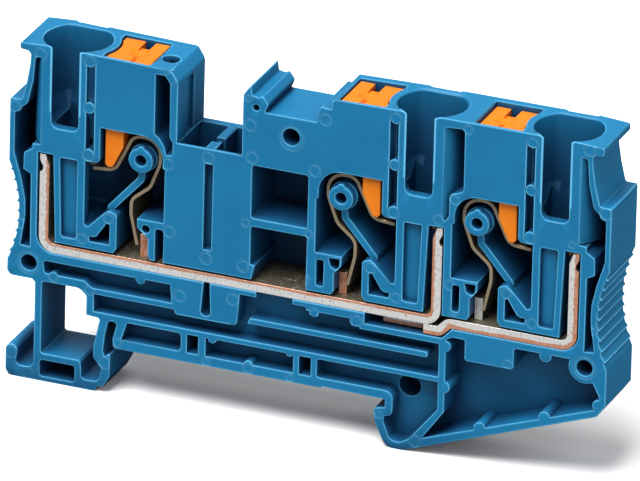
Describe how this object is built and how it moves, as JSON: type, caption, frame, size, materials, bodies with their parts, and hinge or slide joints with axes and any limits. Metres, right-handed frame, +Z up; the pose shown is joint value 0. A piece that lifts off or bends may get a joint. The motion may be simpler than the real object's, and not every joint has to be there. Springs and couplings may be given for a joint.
{
  "type": "feed-through terminal block",
  "caption": "Slim feed-through terminal block with push-in clamps, orange release levers and bent current bars in an open-sided blue housing with a rail foot.",
  "frame": {"origin": "middle of the block's length and thickness, at the height of the underside of the foot", "axes": "+X along the length from the end with the foot, +Y from the open front to the closed back, +Z up away from the rail"},
  "size_m": [0.0742, 0.0082, 0.0425],
  "materials": {
    "blue_plastic": "fine moulded grain",
    "orange_plastic": "fine moulded grain",
    "tinned_copper": "matt tin plate, copper at the cut edge",
    "spring_steel": "rolled strip"
  },
  "bodies": {
    "body": {"housing": "blue_plastic", "busbar_main": "tinned_copper", "busbar_branch": "tinned_copper", "clamp_spring_left": "spring_steel", "clamp_spring_middle": "spring_steel", "clamp_spring_right": "spring_steel"},
    "left_lever": {"release_lever_left": "orange_plastic"},
    "middle_lever": {"release_lever_middle": "orange_plastic"},
    "right_lever": {"release_lever_right": "orange_plastic"}
  },
  "joints": [
    {"name": "left_lever_push", "type": "slide", "parent": "body", "child": "left_lever", "axis": [0, 0, -1], "range_m": [0, 0.0023], "stiffness_N_per_m": 2500, "springref_m": -0.0006, "deforming": ["clamp_spring_left"]},
    {"name": "middle_lever_push", "type": "slide", "parent": "body", "child": "middle_lever", "axis": [0, 0, -1], "range_m": [0, 0.0023], "stiffness_N_per_m": 2500, "springref_m": -0.0006, "deforming": ["clamp_spring_middle"]},
    {"name": "right_lever_push", "type": "slide", "parent": "body", "child": "right_lever", "axis": [0, 0, -1], "range_m": [0, 0.0023], "stiffness_N_per_m": 2500, "springref_m": -0.0006, "deforming": ["clamp_spring_right"]}
  ]
}
